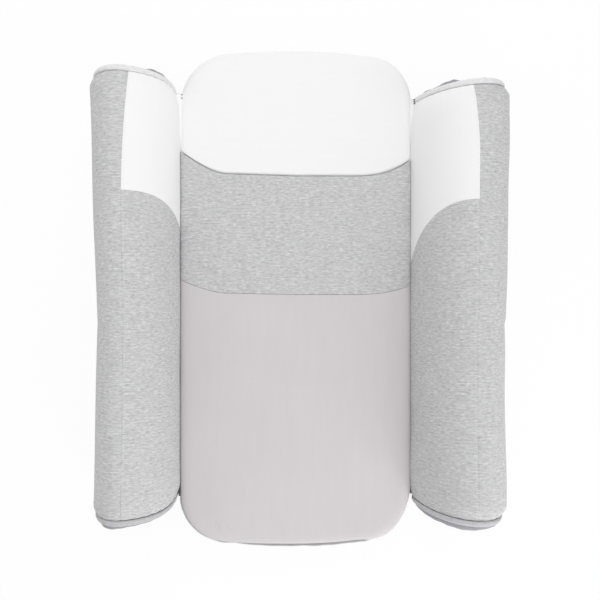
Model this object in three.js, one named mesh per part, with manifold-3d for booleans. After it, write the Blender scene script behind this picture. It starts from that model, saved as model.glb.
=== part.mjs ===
// Baby nest: a filled mat with a filled roll along each long side.
// Millimetres. +X right, +Y towards the head end, +Z up. The origin is on the surface that the nest
// lies on, under the middle of its box.
import * as THREE from "three";
import { mergeVertices } from "three/addons/utils/BufferGeometryUtils.js";
import Module from "manifold-3d";

// ---- Driving dimensions ----
const CLEARANCE = 0.3; // between pieces that touch
const CLOTH = 1.5; // thickness of a sewn-on panel
const RECESS = CLOTH + 2 * CLEARANCE; // how deep a panel lies in the filling under it
const CROSS_GAP = 0.9; // along a roll, between its head and foot panels: their seam runs at a slant

const MAT = {
  width: 315.5,
  length: 672,
  thickness: 40,
  crown: 4, // how much higher the middle of the top is than its edges
  seamHeight: 20, // of the seam round the side, where the mat is widest
  shoulder: 30, // how far in from the side the top is still rounded
  edgeFullness: 3.2, // of that rounding: 2 would make it a quarter ellipse
  underShoulder: 20, // the same for the underside
  seamDip: 2.5, // depth of the valley along each seam across the top
  seamDipReach: 7, // half the width of that valley
};

// The mat's corners are quarter ellipses.
const MAT_CORNERS = {
  headLeft: { width: 67, length: 98 },
  headRight: { width: 53, length: 78 },
  footLeft: { width: 78, length: 51 },
  footRight: { width: 60, length: 84 },
};

// Lines across the mat, foot end first. Towards the long sides each line bends to the head end, by
// bendLeft and bendRight at the side itself.
const MAT_LINES = [
  { y: -MAT.length / 2, bendLeft: 3.5, bendRight: 7 },
  { y: 6, bendLeft: 18, bendRight: 13 },
  { y: 165, bendLeft: 36, bendRight: 24 },
  { y: MAT.length / 2, bendLeft: -5.5, bendRight: -10 },
];
const FOOT_SEAM = MAT_LINES[1].y;
const HEAD_SEAM = MAT_LINES[2].y;
const STRAIGHT_SHARE = 0.45; // the middle part of each seam that stays straight
const LONGEST_CORNER = Math.max(...Object.values(MAT_CORNERS).map((corner) => corner.length));

const ROLL = {
  innerLine: 157.7, // from the mat's middle to the innermost line of a roll
  drawIn: 4.5, // how much the end seam draws the cloth in
  drawInReach: 24, // and over what length
  binding: 8, // width of the binding
  bindingProud: 1, // how far it stands out from the cloth that it holds
  waist: -30, // the station at which a roll is narrowest
};

// A section runs out from the inner line and up from the floor. The seam along the top has a
// slope, the roll is widest at "side", and it is flat on the floor from baseInner to baseOuter.
const ROLLS = [
  {
    name: "left",
    side: -1,
    wallHeight: 45,
    wallLean: 1,
    seam: { out: 51, up: 127.5, slope: 0.3 },
    outerSide: { out: 98, up: 52 }, // at the waist
    baseInner: 11,
    baseOuter: 86,
    headGrowth: { by: 11.5, power: 0.85 }, // how much wider than the waist it is at each end
    footGrowth: { by: 6.3, power: 0.9 },
    footEnd: -277.5,
    headEnd: 288,
    headLean: -1, // how far the end leans along the roll at the top
    footLean: -2.5,
    headSkew: -2, // how much further along the roll the end is on its outer side
    footSkew: 0,
    headBulge: 9, // how far the end panel domes out
    footBulge: 11,
    seamTurn: { in: 11, length: 200, power: 2.2 }, // how the top seam turns in at the head end
    crossSeam: { y: 133, drop: 82, power: 3.1 },
    stripEnd: 283, // the head end of its joining strip
  },
  {
    name: "right",
    side: 1,
    wallHeight: 30,
    wallLean: 3,
    seam: { out: 63, up: 131, slope: 0 },
    outerSide: { out: 113, up: 52 },
    baseInner: 11,
    baseOuter: 100,
    headGrowth: { by: 7.1, power: 0.35 },
    footGrowth: { by: 4.3, power: 1.3 },
    footEnd: -278,
    headEnd: 278,
    headLean: -10,
    footLean: 0,
    headSkew: 8,
    footSkew: -3.5,
    headBulge: 10,
    footBulge: 14,
    seamTurn: { in: 7, length: 85, power: 1.6 },
    crossSeam: { y: 125.5, drop: 152, power: 2.65 },
    stripEnd: 277,
  },
];

// How full each curve of a section is: the share of its reach after which it turns.
const ROLL_FULLNESS = { innerFoot: 0.67, innerSide: 0.55, seam: 0.5, outerSide: 0.75, outerFoot: 0.65 };

const STRIP = { height: 8, thickness: 1.5, footEnd: -270, underMat: 14, underRoll: 8 };

// Mat columns as distances in from the long side, and rows as distances in from the end.
const MAT_EDGE_STEPS = [0, 1.5, 6, 15, 30, 56, 90];
const MAT_END_STEPS = [0, 1.5, 6, 15, 30, 54, 90];
const MAT_ROW_STEP = 58;
// Faces along each stretch of a roll's section, and stations in from its ends.
const FACES = { innerFoot: 4, innerSide: 7, outerSide: 7, outerFoot: 4 };
const PANEL_START = 2; // the face of the inner foot curve at which the inner panels start
const ROLL_END_STEPS = [0, 5, 12, 24];
const ROLL_ROW_STEP = 56;
const DOME_RINGS = [1, 0.8, 0.42]; // as shares of the end's outline
const DOME_FULLNESS = 0.6; // 1 would make its section a parabola, 0.5 an ellipse

const wasm = await Module();
wasm.setup();

// ---- Closed surfaces ----

// One closed geometry from triangles, given as a flat list of corners.
function closedGeometry(corners) {
  const geometry = mergeVertices(new THREE.BufferGeometry().setFromPoints(corners), 1e-4);
  const position = geometry.getAttribute("position");
  const index = geometry.index.array;
  const [a, b, c] = [0, 1, 2].map(() => new THREE.Vector3());
  let volume = 0;
  for (let i = 0; i < index.length; i += 3) {
    a.fromBufferAttribute(position, index[i]);
    b.fromBufferAttribute(position, index[i + 1]);
    c.fromBufferAttribute(position, index[i + 2]);
    volume += a.dot(b.cross(c)) / 6;
  }
  if (volume < 0)
    for (let i = 0; i < index.length; i += 3)
      [index[i + 1], index[i + 2]] = [index[i + 2], index[i + 1]];
  return geometry;
}

// The faces between two rings of equally many points.
function facesBetween(ringA, ringB) {
  const corners = [];
  const count = ringA.length;
  for (let i = 0; i < count; i++) {
    const next = (i + 1) % count;
    corners.push(ringA[i], ringA[next], ringB[next]);
    corners.push(ringA[i], ringB[next], ringB[i]);
  }
  return corners;
}

// A body from rings that run along it, closed at each end by faces that meet in a point.
function loftToPoles(firstPole, rings, lastPole) {
  const corners = [];
  const first = rings[0];
  const last = rings[rings.length - 1];
  for (let i = 1; i < rings.length; i++) corners.push(...facesBetween(rings[i - 1], rings[i]));
  for (let i = 0; i < first.length; i++) corners.push(firstPole, first[(i + 1) % first.length], first[i]);
  for (let i = 0; i < last.length; i++) corners.push(lastPole, last[i], last[(i + 1) % last.length]);
  return closedGeometry(corners);
}

// A ring-shaped body whose section has its corners on the given rings.
function loftRound(rings) {
  const corners = [];
  rings.forEach((ring, i) => corners.push(...facesBetween(ring, rings[(i + 1) % rings.length])));
  return closedGeometry(corners);
}

// A slab between an upper and a lower grid of points, with its four edges closed.
function slab(upper, lower) {
  const rings = upper.map((row, i) => [...row, ...[...lower[i]].reverse()]);
  const corners = [];
  for (let i = 1; i < rings.length; i++) corners.push(...facesBetween(rings[i - 1], rings[i]));
  const end = (top, bottom, flip) => {
    for (let j = 1; j < top.length; j++) {
      const quad = [top[j - 1], top[j], bottom[j], bottom[j - 1]];
      if (flip) quad.reverse();
      corners.push(quad[0], quad[1], quad[2], quad[0], quad[2], quad[3]);
    }
  };
  const last = upper.length - 1;
  end(upper[0], lower[0], true);
  end(upper[last], lower[last], false);
  return closedGeometry(corners);
}

function solidOf(geometry) {
  const { Manifold, Mesh } = wasm;
  return new Manifold(
    new Mesh({
      numProp: 3,
      vertProperties: pointsOnly(geometry).getAttribute("position").array,
      triVerts: new Uint32Array(pointsOnly(geometry).index.array),
    }),
  );
}

function geometryOf(solid) {
  const { vertProperties, triVerts } = solid.getMesh();
  const geometry = new THREE.BufferGeometry();
  geometry.setAttribute("position", new THREE.BufferAttribute(vertProperties, 3));
  return geometry.setIndex(new THREE.BufferAttribute(triVerts, 1));
}

// The geometry with its shared corners merged.
function pointsOnly(geometry) {
  const bare = geometry.clone();
  bare.deleteAttribute("normal");
  bare.deleteAttribute("uv");
  return mergeVertices(bare, 1e-4);
}

// ---- Mat ----

// The width and length of the corner nearest to a point, drawn in by inset.
function cornerReach(x, y, inset) {
  const { width, length } = MAT_CORNERS[(y < 0 ? "foot" : "head") + (x < 0 ? "Left" : "Right")];
  return [width - inset, length - inset];
}

// Distance in from the outline of the mat, drawn in by inset, at a point on it.
function matEdgeDistance(x, y, inset) {
  const [wide, long] = cornerReach(x, y, inset);
  const overX = Math.abs(x) - (MAT.width / 2 - inset - wide);
  const overY = Math.abs(y) - (MAT.length / 2 - inset - long);
  if (overX <= 0 || overY <= 0) return Math.max(0, Math.min(wide - overX, long - overY));
  const share = Math.hypot(overX / wide, overY / long);
  return Math.max(0, Math.hypot(overX, overY) * (1 / share - 1));
}

// How far the mat reaches from its middle, to the side on which x lies.
function matHalfWidth(x, y, inset) {
  const [wide, long] = cornerReach(x, y, inset);
  const into = Math.max(0, Math.abs(y) - (MAT.length / 2 - inset - long));
  return MAT.width / 2 - inset - wide + wide * Math.sqrt(Math.max(0, 1 - (into / long) ** 2));
}

// How far a line across the mat bends to the head end, at a share of the half width.
function matBend(y, share) {
  const i = Math.max(1, MAT_LINES.findIndex((line) => y <= line.y + CLEARANCE));
  const [from, to] = [MAT_LINES[i - 1], MAT_LINES[i]];
  const along = THREE.MathUtils.clamp((y - from.y) / (to.y - from.y), 0, 1);
  const key = share < 0 ? "bendLeft" : "bendRight";
  // The ends of the mat bend over their whole width, the seams only near the sides.
  const nearEnd = THREE.MathUtils.smoothstep(Math.abs(y), HEAD_SEAM, MAT.length / 2);
  const straight = STRAIGHT_SHARE * (1 - nearEnd);
  const outer = Math.max(0, (Math.abs(share) - straight) / (1 - straight));
  return THREE.MathUtils.lerp(from[key], to[key], along) * outer ** 2;
}

// Rises from 0 at the edge to 1 at the given reach, as a quarter round.
const quarterRound = (distance, reach, fullness = 2) =>
  (1 - (1 - Math.min(distance / reach, 1)) ** fullness) ** (1 / fullness);

function matDip(y) {
  const nearest = Math.min(Math.abs(y - FOOT_SEAM), Math.abs(y - HEAD_SEAM));
  return MAT.seamDip * Math.max(0, 1 - nearest / MAT.seamDipReach);
}

// One row of points across the mat, on its top or on its underside.
function matRow(y, inset, isTop, rimHeight = MAT.seamHeight) {
  const halfLength = MAT.length / 2;
  const rowY = (y * (halfLength - inset)) / halfLength;
  const half = MAT.width / 2;
  const leftShares = [...MAT_EDGE_STEPS, half].map((distance) => distance / half - 1);
  const rightShares = leftShares.slice(0, -1).reverse().map((share) => -share);
  const shares = [...leftShares, ...rightShares];
  return shares.map((share) => {
    const x = share * matHalfWidth(share, rowY, inset);
    const distance = matEdgeDistance(x, rowY, inset);
    const rise = quarterRound(distance, MAT.shoulder - inset, MAT.edgeFullness);
    const crown = MAT.crown * (1 - share ** 2) * (1 - (y / halfLength) ** 2);
    const top = MAT.seamHeight + rise * (MAT.thickness - inset - MAT.seamHeight + crown - matDip(y));
    const under = MAT.seamHeight * (1 - quarterRound(distance, MAT.underShoulder));
    const z = isTop ? Math.max(rimHeight, top) : under - Math.max(0, -inset);
    return new THREE.Vector3(x, rowY + matBend(y, share), z);
  });
}

// Row positions from one line across the mat to the next, with the rows that round its ends.
function matRows(from, to) {
  const halfLength = MAT.length / 2;
  const rows = new Set([from, to]);
  const add = (y) => y > from + 1 && y < to - 1 && rows.add(y);
  MAT_END_STEPS.forEach((d) => [-1, 1].forEach((sign) => add(sign * (halfLength - d))));
  [FOOT_SEAM, HEAD_SEAM].forEach((seam) => [-1, 0, 1].forEach((k) => add(seam + k * MAT.seamDipReach)));
  const clear = halfLength - LONGEST_CORNER;
  const count = Math.round((2 * clear) / MAT_ROW_STEP);
  for (let i = 1; i < count; i++) {
    const y = -clear + (2 * clear * i) / count;
    const near = Math.min(Math.abs(y - FOOT_SEAM), Math.abs(y - HEAD_SEAM));
    if (near > MAT.seamDipReach + MAT_ROW_STEP / 4) add(y);
  }
  return [...rows].sort((a, b) => a - b);
}

function matBody(grow = 0) {
  const rows = matRows(-MAT.length / 2, MAT.length / 2);
  const recess = grow ? -grow : RECESS;
  return slab(
    rows.map((y) => matRow(y, recess, true)),
    rows.map((y) => matRow(y, -grow, false)),
  );
}

function matPanel(from, to) {
  const halfGap = CLEARANCE / 2;
  const rim = MAT.seamHeight + CLEARANCE;
  const start = from === -MAT.length / 2 ? from : from + halfGap;
  const end = to === MAT.length / 2 ? to : to - halfGap;
  const rows = matRows(start, end);
  return slab(
    rows.map((y) => matRow(y, 0, true, rim)),
    rows.map((y) => matRow(y, CLOTH, true, rim)),
  );
}

// ---- Rolls ----

// The outline of a roll's section, anticlockwise from the inner end of its flat base, as points with
// the direction in which the cloth faces there.
function rollSection(roll) {
  const v = (out, up) => new THREE.Vector2(out, up);
  const { seam, outerSide, wallHeight } = roll;
  const full = ROLL_FULLNESS;
  const reach = seam.out * full.seam;
  const shoulder = (outerSide.out - seam.out) * full.seam;
  const curves = [
    new THREE.CubicBezierCurve(
      v(roll.baseInner, 0), v(roll.baseInner * (1 - full.innerFoot), 0),
      v(0, wallHeight * (1 - full.innerFoot)), v(0, wallHeight),
    ),
    new THREE.CubicBezierCurve(
      v(0, wallHeight), v(roll.wallLean, wallHeight + (seam.up - wallHeight) * full.innerSide),
      v(seam.out - reach, seam.up - seam.slope * reach), v(seam.out, seam.up),
    ),
    new THREE.CubicBezierCurve(
      v(seam.out, seam.up), v(seam.out + shoulder, seam.up + seam.slope * shoulder),
      v(outerSide.out, outerSide.up + (seam.up - outerSide.up) * full.outerSide),
      v(outerSide.out, outerSide.up),
    ),
    new THREE.CubicBezierCurve(
      v(outerSide.out, outerSide.up), v(outerSide.out, outerSide.up * (1 - full.outerFoot)),
      v(roll.baseOuter + (outerSide.out - roll.baseOuter) * full.outerFoot, 0), v(roll.baseOuter, 0),
    ),
  ];
  const faces = [FACES.innerFoot, FACES.innerSide, FACES.outerSide, FACES.outerFoot];
  const points = [];
  curves.forEach((curve, k) => {
    for (let i = k === 0 ? 0 : 1; i <= faces[k]; i++) {
      const tangent = curve.getTangent(i / faces[k]);
      const facing = v(-tangent.y, tangent.x);
      points.push({ at: curve.getPoint(i / faces[k]), facing, tangent });
    }
  });
  return points;
}

for (const roll of ROLLS) roll.section = rollSection(roll);

const SEAM_INDEX = FACES.innerFoot + FACES.innerSide; // the point of a section on the seam along the top
const UNDER_BINDING = CLOTH - ROLL.bindingProud + CLEARANCE; // how deep the filling lies there

// The station of the seam at which a binding starts. Out is +1 at the head end, -1 at the foot end.
const endSeam = (roll, out) => (out > 0 ? roll.headEnd : roll.footEnd) - out * ROLL.binding;

// How much the cloth is drawn in at a station, near the end seams.
function rollDrawIn(roll, y) {
  const into = Math.min(endSeam(roll, 1) - y, y - endSeam(roll, -1));
  return ROLL.drawIn * Math.max(0, 1 - into / ROLL.drawInReach) ** 2;
}

// How far the line across a roll shifts along it at a point of the section, which lies out from the
// inner line and up from the floor: the cross seam runs down the inner side to the foot end, and the
// ends lean and skew.
function rollShift(roll, y, index, out, up) {
  const { y: seamY, drop, power } = roll.crossSeam;
  const [seamAtFoot, seamAtHead] = [endSeam(roll, -1), endSeam(roll, 1)];
  const share = THREE.MathUtils.clamp((SEAM_INDEX - index) / (SEAM_INDEX - PANEL_START), 0, 1);
  const near = y > seamY ? (seamAtHead - y) / (seamAtHead - seamY) : (y - seamAtFoot) / (seamY - seamAtFoot);
  const lean = y > 0 ? (roll.headLean * y) / seamAtHead : (roll.footLean * y) / seamAtFoot;
  const skew = y > 0 ? (roll.headSkew * y) / seamAtHead : (roll.footSkew * y) / seamAtFoot;
  const onInside = index <= SEAM_INDEX ? share ** power : 0;
  const ends = (lean * up) / roll.seam.up + skew * (out / roll.outerSide.out - 0.5);
  return ends - drop * Math.max(0, near) * onInside;
}

// How far a point of the section moves along it towards the mat, as the top seam turns in.
function rollSlide(roll, y, index) {
  const near = THREE.MathUtils.clamp(1 - (endSeam(roll, 1) - y) / roll.seamTurn.length, 0, 1);
  const share = Math.max(0, 1 - Math.abs(index - SEAM_INDEX) / FACES.innerSide);
  return roll.seamTurn.in * near ** roll.seamTurn.power * share;
}

// A point on a roll, drawn in from its cloth by inset.
function rollPoint(roll, y, index, inset, along = 0) {
  const { facing, tangent } = roll.section[index];
  const at = roll.section[index].at.clone().addScaledVector(tangent, -rollSlide(roll, y, index));
  const end = y > ROLL.waist ? roll.headEnd : roll.footEnd;
  const share = (y - ROLL.waist) / (end - ROLL.waist);
  const { by, power } = y > ROLL.waist ? roll.headGrowth : roll.footGrowth;
  const wide = 1 + (by * share ** power) / roll.outerSide.out;
  const depth = inset + rollDrawIn(roll, y);
  const out = at.x * wide - facing.x * depth;
  const up = at.y - facing.y * depth;
  const shift = rollShift(roll, y, index, out, up);
  return new THREE.Vector3(roll.side * (ROLL.innerLine + out), y + shift + along, up);
}

// The whole outline of a roll at a station.
function rollRing(roll, y, inset, along = 0) {
  return roll.section.map((_, index) => rollPoint(roll, y, index, inset, along));
}

// Station positions along a roll between two of its lines.
function rollRows(roll, from, to) {
  const [seamAtFoot, seamAtHead] = [endSeam(roll, -1), endSeam(roll, 1)];
  const rows = new Set([from, to]);
  const add = (y) => y > from + 1 && y < to - 1 && rows.add(y);
  ROLL_END_STEPS.forEach((d) => [seamAtFoot + d, seamAtHead - d].forEach(add));
  add(roll.crossSeam.y);
  const start = seamAtFoot + ROLL.drawInReach;
  const count = Math.round((seamAtHead - ROLL.drawInReach - start) / ROLL_ROW_STEP);
  for (let i = 1; i < count; i++) {
    const y = start + ((seamAtHead - ROLL.drawInReach - start) * i) / count;
    if (Math.abs(y - roll.crossSeam.y) > ROLL_ROW_STEP / 3) add(y);
  }
  return [...rows].sort((a, b) => a - b);
}

// The rings of a domed end from its outline inwards, and its top. Out is +1 at the head end and -1
// at the foot end, and lower is how far the dome lies under the cloth of the end panel.
function dome(roll, out, lower, grow = 0) {
  const bulge = out > 0 ? roll.headBulge : roll.footBulge;
  const along = out * (ROLL.binding - lower + grow);
  const outline = rollRing(roll, endSeam(roll, out), UNDER_BINDING - grow, along);
  const middle = new THREE.Box3().setFromPoints(outline).getCenter(new THREE.Vector3());
  const rings = DOME_RINGS.map((share) =>
    outline.map((point) => {
      const at = middle.clone().lerp(point, share);
      at.y += out * bulge * (1 - share ** 2) ** DOME_FULLNESS;
      return at;
    }),
  );
  const top = middle.clone();
  top.y += out * bulge;
  return { rings, top };
}

// The whole filled form of a roll, without its bindings and end panels.
function rollForm(roll, grow = 0) {
  const [foot, head] = [dome(roll, -1, RECESS, grow), dome(roll, 1, RECESS, grow)];
  const [footSeam, headSeam] = [endSeam(roll, -1), endSeam(roll, 1)];
  const rings = [
    ...foot.rings.reverse(),
    rollRing(roll, footSeam, UNDER_BINDING - grow),
    ...rollRows(roll, footSeam, headSeam).map((y) => rollRing(roll, y, -grow)),
    rollRing(roll, headSeam, UNDER_BINDING - grow),
    ...head.rings,
  ];
  return loftToPoles(foot.top, rings, head.top);
}

// The grid of a stretch of the inner side, from its foot to the seam along the top. It stops short
// of both by edge.
function innerSide(roll, rows, inset, edge = 0) {
  return rows.map((y) => {
    const row = [];
    for (let i = PANEL_START; i <= SEAM_INDEX; i++) row.push(rollPoint(roll, y, i, inset));
    const last = row.length - 1;
    row[0].lerp(row[1], edge / row[0].distanceTo(row[1]));
    row[last].lerp(row[last - 1], edge / row[last].distanceTo(row[last - 1]));
    return row;
  });
}

function rollBody(roll) {
  const rows = rollRows(roll, endSeam(roll, -1) - CLEARANCE, endSeam(roll, 1) + CLEARANCE);
  const outside = -2 * CLOTH;
  const recess = slab(innerSide(roll, rows, outside), innerSide(roll, rows, RECESS));
  return geometryOf(solidOf(rollForm(roll)).subtract(solidOf(recess)));
}

function rollPanel(roll, from, to) {
  const rows = rollRows(roll, from, to);
  return slab(innerSide(roll, rows, 0, CLEARANCE), innerSide(roll, rows, CLOTH, CLEARANCE));
}

function rollCap(roll, out, grow = 0) {
  const outer = dome(roll, out, 0, grow);
  const inner = dome(roll, out, CLOTH + 2 * grow, grow);
  return loftToPoles(outer.top, [...outer.rings.reverse(), ...inner.rings], inner.top);
}

function rollBinding(roll, out, grow = 0) {
  const seam = endSeam(roll, out);
  const edges = [out * (CLEARANCE - 2 * grow), out * (ROLL.binding + grow)];
  const outer = edges.map((along) => rollRing(roll, seam, -ROLL.bindingProud - grow, along));
  const inner = edges.map((along) => rollRing(roll, seam, CLOTH - ROLL.bindingProud + grow, along));
  return loftRound([outer[0], outer[1], inner[1], inner[0]]);
}

// ---- Joining strips ----

// The strip fills the low gap between the mat and a roll, clear of both.
function joiningStrip(roll) {
  const { height, thickness, footEnd, underMat, underRoll } = STRIP;
  const box = new THREE.BoxGeometry(underMat + underRoll, roll.stripEnd - footEnd, thickness);
  const middle = ROLL.innerLine + (underRoll - underMat) / 2;
  box.translate(roll.side * middle, (roll.stripEnd + footEnd) / 2, height + thickness / 2);
  const around = [
    matBody(CLEARANCE),
    rollForm(roll, CLEARANCE),
    ...[-1, 1].flatMap((out) => [rollBinding(roll, out, CLEARANCE), rollCap(roll, out, CLEARANCE)]),
  ];
  const cut = around.reduce((strip, piece) => strip.subtract(solidOf(piece)), solidOf(box));
  const [largest] = cut.decompose().sort((a, b) => b.volume() - a.volume());
  return geometryOf(largest);
}

// ---- Colours ----
const CLOTHS = {
  plainJersey: { color: 0xcdc8c9, roughness: 0.95 },
  heather: { color: 0xbfbfc2, roughness: 0.95 },
  spacerMesh: { color: 0xf2f1ef, roughness: 0.9 },
  binding: { color: 0xd6d5da, roughness: 0.9 },
  capJersey: { color: 0x9b9ba0, roughness: 0.95 },
};

const nest = new THREE.Group();

function addPiece(name, geometry, cloth) {
  const mesh = new THREE.Mesh(geometry, new THREE.MeshStandardMaterial(CLOTHS[cloth]));
  mesh.name = name;
  nest.add(mesh);
}

addPiece("mat", matBody(), "plainJersey");
addPiece("mat_foot_panel", matPanel(-MAT.length / 2, FOOT_SEAM), "plainJersey");
addPiece("mat_middle_panel", matPanel(FOOT_SEAM, HEAD_SEAM), "heather");
addPiece("mat_head_panel", matPanel(HEAD_SEAM, MAT.length / 2), "spacerMesh");

for (const roll of ROLLS) {
  const [footSeam, headSeam] = [endSeam(roll, -1) + CLEARANCE, endSeam(roll, 1) - CLEARANCE];
  const cross = roll.crossSeam.y;
  const halfGap = CROSS_GAP / 2;
  addPiece(`${roll.name}_roll`, rollBody(roll), "heather");
  addPiece(`${roll.name}_roll_foot_panel`, rollPanel(roll, footSeam, cross - halfGap), "heather");
  addPiece(`${roll.name}_roll_head_panel`, rollPanel(roll, cross + halfGap, headSeam), "spacerMesh");
  for (const [end, out] of [["foot", -1], ["head", 1]]) {
    addPiece(`${roll.name}_${end}_binding`, rollBinding(roll, out), "binding");
    addPiece(`${roll.name}_${end}_cap`, rollCap(roll, out), "capJersey");
  }
  addPiece(`${roll.name}_strip`, joiningStrip(roll), "plainJersey");
}

// The origin goes under the middle of the whole nest.
const box = new THREE.Box3().setFromObject(nest);
nest.position.set(-(box.min.x + box.max.x) / 2, -(box.min.y + box.max.y) / 2, -box.min.z);

export default nest;
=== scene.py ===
from math import tau

import bpy
import numpy as np
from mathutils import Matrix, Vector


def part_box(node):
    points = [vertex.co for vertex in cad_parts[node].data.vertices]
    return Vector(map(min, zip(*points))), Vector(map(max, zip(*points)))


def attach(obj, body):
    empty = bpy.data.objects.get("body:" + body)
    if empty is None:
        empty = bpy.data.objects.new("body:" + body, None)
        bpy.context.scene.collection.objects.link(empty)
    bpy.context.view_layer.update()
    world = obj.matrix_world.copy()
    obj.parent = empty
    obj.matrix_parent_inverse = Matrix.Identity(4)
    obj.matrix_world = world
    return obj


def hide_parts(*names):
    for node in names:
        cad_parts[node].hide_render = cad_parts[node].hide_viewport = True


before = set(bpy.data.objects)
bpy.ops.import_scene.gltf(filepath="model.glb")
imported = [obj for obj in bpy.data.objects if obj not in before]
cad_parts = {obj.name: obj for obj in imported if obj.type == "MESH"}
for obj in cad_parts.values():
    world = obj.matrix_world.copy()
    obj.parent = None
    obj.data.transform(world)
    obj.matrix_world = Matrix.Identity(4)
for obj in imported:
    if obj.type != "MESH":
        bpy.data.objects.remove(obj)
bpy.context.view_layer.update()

MM = 0.001


def corners_of(node):
    """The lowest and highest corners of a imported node, in millimetres."""
    return [np.array(corner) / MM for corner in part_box(node)]


# ---- Sizes ----

MAT_LOW, MAT_HIGH = corners_of("mat")
MAT_X = (MAT_LOW[0] + MAT_HIGH[0]) / 2
PRESSED_IN = 0.9  # how much less the mat reaches out at each side where the rolls press on it
MAT_WIDTH, MAT_LENGTH = (MAT_HIGH - MAT_LOW)[:2] - (2 * PRESSED_IN, 0)
HALF_LENGTH = MAT_LENGTH / 2
MAT_CROWN = 4
MAT_THICKNESS = corners_of("mat_middle_panel")[1][2] - MAT_CROWN
RIM = 20  # height of the seam round the mat, where it is widest
SHOULDER = 30  # how far in from the side the top is still rounded
UNDER_SHOULDER = 20  # the same for the underside
EDGE_FULLNESS = 5  # 2 would make the sides round, and more makes them fuller
# The (width, length) of the left and right corner of the foot end, and then of the head end.
CORNERS = np.array([[(66, 60), (62, 83)], [(67, 98), (53, 78)]])

# Lines across the mat and how far they bend to the head end at its left and right side.
LINE_Y = (-HALF_LENGTH, 6, 164.4, HALF_LENGTH)
BEND_LEFT = (4.5, 21, 36, -5.5)
BEND_RIGHT = (8, 13, 24, -10)
FOOT_SEAM, HEAD_SEAM = LINE_Y[1:3]
# On each side a seam slopes by a part of its bend all the way, stays straight over a share of the
# half width, and takes the rest of the bend along a curve of some power.
SLOPES, STRAIGHTS, CURVES = (0.15, 0), (0.6, 0.5), (1.55, 2.5)

INNER_LINE = corners_of("right_roll_foot_panel")[0][0] - MAT_X - PRESSED_IN  # innermost line of a roll
DRAW_IN = 4.5  # how much the end seams draw the cloth in
DRAW_IN_REACH = 24  # how far from an end seam they do so
OUTER_REACH = 11  # the same on the outer side
BINDING = 8  # width of the binding
WAIST = -30  # where the rolls are narrowest
SQUEEZE = 1.6  # how far a roll presses into the side of the mat
PULL_REACH = 70  # over this length low on the inner side an end is pulled towards the roll's middle

WEB_START = 150  # the mesh between the mat and the rolls runs from here to the head end
EDGE_ROUND_CORNERS = (62, 6)  # how far up round the left and right corner the overlocked edge goes on
# How far the overlocked edge reaches out from the rim, by the place across the mat from its middle.
# The edge shows along the foot and round the left corner and hides at the right corner, so its darker thread
# paints the shade on those sides as well.
EDGE_SEEN_X = (-158, -140, -125, -111, -97, -83, -55, 0, 53, 73, 94, 112)
EDGE_SEEN = (1.7, 1.7, 1.7, 1.2, 2.3, 1.3, 2.4, 2.3, 2.7, 2.7, 3.8, -1)

# A section has the (height, lean) of its inner wall, the (out, up) of the seam along the top with the
# cloth's slope there, the (out, up) of its widest place and the (start, end) of its flat base. Out is
# from the inner line and up from the floor. Pairs from growth to pull are (foot end, head end). Growth
# and power widen the roll from its waist to its ends. Lean moves the top of an end along the nest, and
# skew turns the end, seen from above. Bulge and dome are the height of an end cloth and the power of
# its curve. Drawn is how much more the outer side is drawn in, and pull how far the low inner side is
# pulled towards the roll's middle. Turn slides the top seam inwards near the head end. Cross is the
# seam across the inner side: where it starts at the top, and how far it drops to the foot end. Web is
# the mesh over the crease.
# The foot tacks are a run of dark thread that also paints the shade at the foot end of the joining tape.
ROLLS = {
    "left": dict(
        side=-1, seed=20, wall=(40, 1), seam=(52, 127.5), slope=0.3, outer=(98, 52), base=(11, 86),
        growth=(6.3, 11), power=(0.9, 0.85), ends=(-276.7, 288), lean=(-2.5, -1), skew=(2.2, -2),
        bulge=(12.5, 9), dome=(0.6, 0.6), drawn=(0, 1.3), pull=(9, 9),
        turn=dict(inwards=11, length=200, power=2.2), cross=dict(y=133, drop=82, power=3.1),
        web=dict(end=276, over_mat=5, over_roll=1.6),
        head_tacks=((-153, 274.5), (-153, 270)), foot_tacks_and_painted_shade=dict(x=-157, start=-266, end=-250),
    ),
    "right": dict(
        side=1, seed=21, wall=(30, 3), seam=(64, 131), slope=0, outer=(113, 52), base=(11, 100),
        growth=(3.7, 7.1), power=(1.3, 0.35), ends=(-278, 278), lean=(0, -10), skew=(-3.5, 8),
        bulge=(14, 8), dome=(0.42, 0.6), drawn=(3, 3), pull=(0, 0),
        turn=dict(inwards=7, length=85, power=1.6), cross=dict(y=125.5, drop=152, power=2.65),
        web=dict(end=269, over_mat=1, over_roll=0.4),
        head_tacks=((160, 268), (160, 265.5), (160.5, 263)), foot_tacks_and_painted_shade=dict(x=157, start=-262, end=-252),
    ),
}
END_NAMES, END_SIGNS = ("foot", "head"), (-1, 1)  # the ends and their directions along the nest
FULLNESS = dict(inner_foot=0.67, inner_side=0.55, seam=0.5, outer_side=0.75, outer_foot=0.65)

# Stations round a section: it starts at the inner end of the flat base, and these are where the
# inner wall, the inner side, the seam along the top, the outer side and the base end.
WALL, TOP_SEAM, OUTER, BASE, ROUND = 4, 11, 18, 22, 23
PANEL_START = 2  # where the cloth on the inner side starts
STARTS = np.array((0, WALL, TOP_SEAM, OUTER, BASE))
SPANS = np.diff((*STARTS, ROUND))

CLOTH_STEP = 2.4  # distance between the rows and columns of a cloth that shows
CASING_STEP = 5  # the same for the filling of the mat
CASING_DEPTH = 4  # how deep a casing lies under sewn-on cloth
EDGE_DEPTH = 1.8  # how deep the edges of a roll's cloths are turned into the seams

# ---- Small helpers ----


def quarter_round(distance, reach, fullness=2):
    """Rises from 0 at the edge to 1 at the given reach."""
    return (1 - (1 - np.clip(distance / reach, 0, 1)) ** fullness) ** (1 / fullness)


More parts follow.
